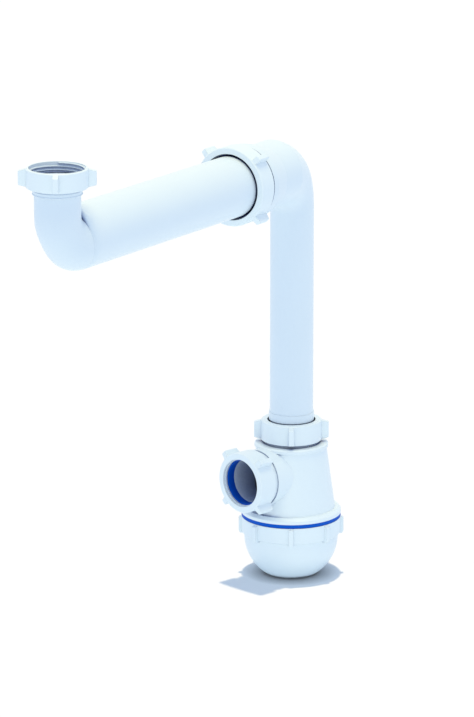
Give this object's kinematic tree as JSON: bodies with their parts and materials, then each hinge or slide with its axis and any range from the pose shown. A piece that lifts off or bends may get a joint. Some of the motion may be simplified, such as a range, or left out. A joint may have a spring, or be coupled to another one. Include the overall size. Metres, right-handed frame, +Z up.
{
  "type": "space-saving trap",
  "caption": "Space-saving basin trap: wide level arm from a basin waste nut to a swivelling downpipe, with a conical bottle body, side outlet and screw-on bowl.",
  "frame": {"origin": "lower end of the inlet thread on its axis, just above the washer in the inlet nut", "axes": "+Z up along the inlet thread, +X along the level arm towards the downpipe"},
  "size_m": [0.3515, 0.0768, 0.3611],
  "materials": {
    "white_moulding": "satin gloss moulded polypropylene",
    "slip_ring": "plain moulded",
    "seal_rubber": "smooth",
    "washer": "smooth"
  },
  "bodies": {
    "arm": {"arm": "white_moulding", "inlet_washer": "washer"},
    "inlet_nut": {"inlet_nut": "white_moulding"},
    "downpipe": {"downpipe": "white_moulding", "arm_seal": "seal_rubber"},
    "arm_slip": {"arm_slip_ring": "slip_ring"},
    "arm_nut": {"arm_nut": "white_moulding"},
    "trap": {"trap_body": "white_moulding", "body_seal": "seal_rubber", "outlet_seal": "seal_rubber"},
    "body_slip": {"body_slip_ring": "slip_ring"},
    "body_nut": {"body_nut": "white_moulding"},
    "outlet_slip": {"outlet_slip_ring": "slip_ring"},
    "outlet_nut": {"outlet_nut": "white_moulding"},
    "bowl_ring": {"bowl_seal": "seal_rubber"},
    "bowl": {"bowl": "white_moulding"}
  },
  "joints": [
    {"name": "inlet_nut_turn", "type": "hinge", "parent": "arm", "child": "inlet_nut", "pos_m": [0, 0, 0], "axis": [0, 0, 1], "continuous": true},
    {"name": "downpipe_swivel", "type": "hinge", "parent": "arm", "child": "downpipe", "pos_m": [0.29, 0, -0.045], "axis": [1, 0, 0], "range_deg": [-90, 90]},
    {"name": "trap_swivel", "type": "hinge", "parent": "downpipe", "child": "trap", "pos_m": [0.29, 0, -0.2406], "axis": [0, 0, 1], "continuous": true},
    {"name": "arm_nut_draw", "type": "slide", "parent": "downpipe", "child": "arm_slip", "axis": [-1, 0, 0], "range_m": [0, 0.00926]},
    {"name": "arm_nut_turn", "type": "hinge", "parent": "arm_slip", "child": "arm_nut", "pos_m": [0.213, 0, -0.045], "axis": [-1, 0, 0], "range_deg": [0, 1440]},
    {"name": "body_nut_draw", "type": "slide", "parent": "trap", "child": "body_slip", "axis": [0, 0, 1], "range_m": [0, 0.00926]},
    {"name": "body_nut_turn", "type": "hinge", "parent": "body_slip", "child": "body_nut", "pos_m": [0.29, 0, -0.2406], "axis": [0, 0, 1], "range_deg": [0, 1440]},
    {"name": "outlet_nut_draw", "type": "slide", "parent": "trap", "child": "outlet_slip", "axis": [-0.9781, 0.2079, 0], "range_m": [0, 0.00926]},
    {"name": "outlet_nut_turn", "type": "hinge", "parent": "outlet_slip", "child": "outlet_nut", "pos_m": [0.29, 0, -0.2744], "axis": [-0.9781, 0.2079, 0], "range_deg": [0, 1440]},
    {"name": "bowl_draw", "type": "slide", "parent": "trap", "child": "bowl_ring", "axis": [0, 0, -1], "range_m": [0, 0.00802]},
    {"name": "bowl_turn", "type": "hinge", "parent": "bowl_ring", "child": "bowl", "pos_m": [0.29, 0, -0.3106], "axis": [0, 0, -1], "range_deg": [0, 720]}
  ],
  "couplings": [
    {"joint": "arm_nut_draw", "follows": "arm_nut_turn", "m_per_rad": 0.00036749},
    {"joint": "body_nut_draw", "follows": "body_nut_turn", "m_per_rad": 0.00036749},
    {"joint": "outlet_nut_draw", "follows": "outlet_nut_turn", "m_per_rad": 0.00036749},
    {"joint": "bowl_draw", "follows": "bowl_turn", "m_per_rad": 0.00063662}
  ]
}
